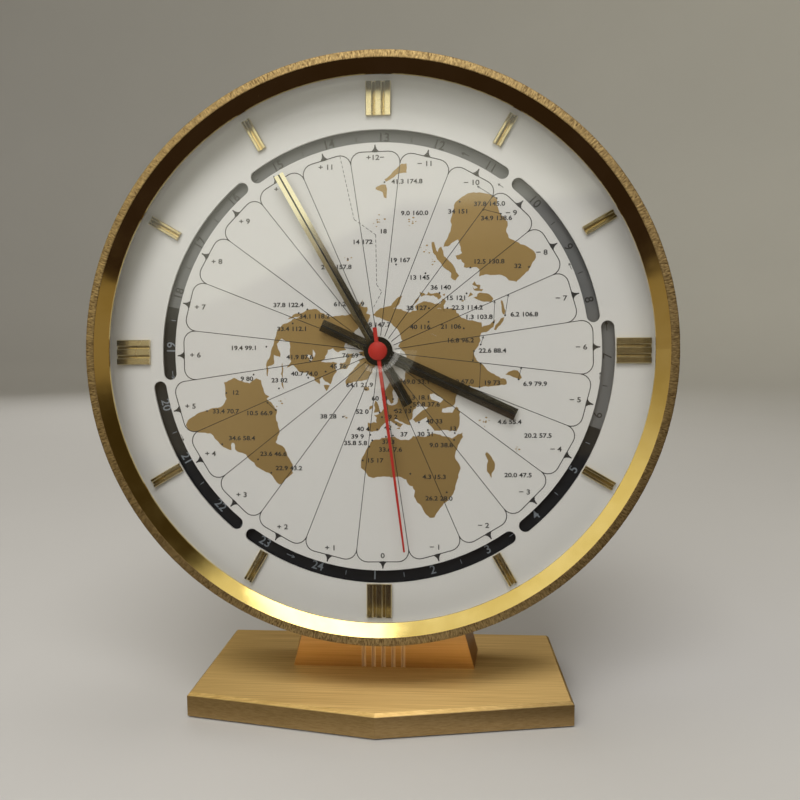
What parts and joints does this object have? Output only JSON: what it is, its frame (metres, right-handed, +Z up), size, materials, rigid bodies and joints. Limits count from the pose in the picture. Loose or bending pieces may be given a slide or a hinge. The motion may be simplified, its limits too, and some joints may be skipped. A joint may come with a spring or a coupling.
{
  "type": "world time clock",
  "caption": "Round brass table clock on a five-sided stand, with a polar world-time dial, curved windows onto a turning hour ring, bar hands and a geared quartz movement.",
  "frame": {"origin": "on the resting face, under the middle of the stand", "axes": "+Z up, the dial looks towards -Y, +X to the right of the dial as it is read"},
  "size_m": [0.25, 0.089, 0.2845],
  "materials": {
    "brushed_brass": "brushed brass",
    "bark_brass": "bark-textured brass",
    "polished_brass": "polished brass",
    "wheel_brass": "cut brass",
    "clear_glass": "clear domed glass",
    "black_rubber": "matte rubber",
    "ring_white": "white lacquer",
    "dial_white": "satin white lacquer with print",
    "hour_ring_print": "light grey and black print",
    "zinc_steel": "zinc-plated steel",
    "red_lacquer": "red lacquer",
    "black_moulding": "black moulded plastic",
    "board_green": "green circuit board",
    "chip_black": "black resin",
    "magnet_grey": "sintered magnet",
    "coil_copper": "copper winding",
    "battery_jacket": "plain dark jacket",
    "contact_spring": "nickel-plated spring steel",
    "cover_paint": "gold-bronze paint",
    "foot_felt": "dark green felt"
  },
  "bodies": {
    "case": {"base_plate": "brushed_brass", "base_felt": "foot_felt", "base_screws": "zinc_steel", "neck": "brushed_brass", "neck_screws": "zinc_steel", "case_drum": "bark_brass", "bezel_ring": "polished_brass", "glass_lens": "clear_glass", "glass_gasket": "black_rubber", "spacer_ring": "ring_white", "dial_plate": "dial_white", "wide_markers": "polished_brass", "slim_markers": "polished_brass", "seat_ring": "zinc_steel", "carrier_posts": "wheel_brass", "carrier_screws": "zinc_steel", "carrier_plate": "zinc_steel", "stack_pillars": "wheel_brass", "ring_bridge": "wheel_brass", "bridge_posts": "wheel_brass", "ring_clip": "contact_spring", "minute_post": "zinc_steel", "train_bridge": "wheel_brass", "train_plate": "wheel_brass", "train_pillars": "wheel_brass", "stator_core": "zinc_steel", "drive_coil": "coil_copper", "movement_housing": "black_moulding", "housing_screws": "zinc_steel", "circuit_board": "board_green", "control_chip": "chip_black", "quartz_can": "contact_spring", "battery": "battery_jacket", "spring_contact": "contact_spring", "strip_contact": "contact_spring", "back_cover": "cover_paint", "cover_screws": "zinc_steel", "hinge_pin": "zinc_steel"},
    "second_train": {"second_arbor": "wheel_brass", "second_hand": "red_lacquer", "hand_cap": "red_lacquer"},
    "minute_train": {"cannon_pinion": "wheel_brass", "minute_hand": "polished_brass"},
    "hour_train": {"hour_wheel": "wheel_brass", "hour_pinion": "wheel_brass", "hour_hand": "polished_brass"},
    "reverser": {"minute_wheel": "wheel_brass"},
    "transfer": {"transfer_wheel": "wheel_brass", "transfer_pinion": "wheel_brass", "transfer_arbor": "zinc_steel"},
    "hour_disc": {"ring_wheel": "wheel_brass", "hour_ring": "hour_ring_print"},
    "setter": {"setting_shaft": "zinc_steel", "setting_pinion": "wheel_brass", "setting_knob": "black_moulding"},
    "step_train": {"step_wheel": "wheel_brass"},
    "rotor": {"rotor_pinion": "black_moulding", "rotor_magnet": "magnet_grey"},
    "hatch": {"battery_hatch": "black_moulding"}
  },
  "joints": [
    {"name": "minute_spin", "type": "hinge", "parent": "case", "child": "minute_train", "pos_m": [0, -0.0075, 0.1588], "axis": [0, 0.9969, -0.0785], "continuous": true},
    {"name": "hour_spin", "type": "hinge", "parent": "case", "child": "hour_train", "pos_m": [0, -0.0075, 0.1588], "axis": [0, 0.9969, -0.0785], "continuous": true},
    {"name": "reverser_spin", "type": "hinge", "parent": "case", "child": "reverser", "pos_m": [0, -0.00844, 0.14684], "axis": [0, 0.9969, -0.0785], "continuous": true},
    {"name": "transfer_spin", "type": "hinge", "parent": "case", "child": "transfer", "pos_m": [-0.0105, -0.0075, 0.1588], "axis": [0, 0.9969, -0.0785], "continuous": true},
    {"name": "disc_spin", "type": "hinge", "parent": "case", "child": "hour_disc", "pos_m": [0, -0.0075, 0.1588], "axis": [0, 0.9969, -0.0785], "continuous": true},
    {"name": "setter_spin", "type": "hinge", "parent": "case", "child": "setter", "pos_m": [-0.0041, -0.00933, 0.1356], "axis": [0, 0.9969, -0.0785], "continuous": true},
    {"name": "second_spin", "type": "hinge", "parent": "case", "child": "second_train", "pos_m": [0, -0.0075, 0.1588], "axis": [0, 0.9969, -0.0785], "continuous": true},
    {"name": "step_spin", "type": "hinge", "parent": "case", "child": "step_train", "pos_m": [0.00758, -0.00716, 0.16316], "axis": [0, 0.9969, -0.0785], "continuous": true},
    {"name": "rotor_spin", "type": "hinge", "parent": "case", "child": "rotor", "pos_m": [0.00458, -0.00675, 0.16834], "axis": [0, 0.9969, -0.0785], "continuous": true},
    {"name": "hatch_hinge", "type": "hinge", "parent": "case", "child": "hatch", "pos_m": [0, 0.03098, 0.0933], "axis": [-1, 0, 0], "range_deg": [0, 100]}
  ],
  "couplings": [
    {"joint": "hour_spin", "follows": "minute_spin", "ratio": 0.083333},
    {"joint": "reverser_spin", "follows": "minute_spin", "ratio": -0.33333},
    {"joint": "transfer_spin", "follows": "minute_spin", "ratio": -0.055556},
    {"joint": "disc_spin", "follows": "minute_spin", "ratio": 0.041667},
    {"joint": "setter_spin", "follows": "minute_spin", "ratio": 1},
    {"joint": "step_spin", "follows": "second_spin", "ratio": -6},
    {"joint": "rotor_spin", "follows": "second_spin", "ratio": 30}
  ]
}
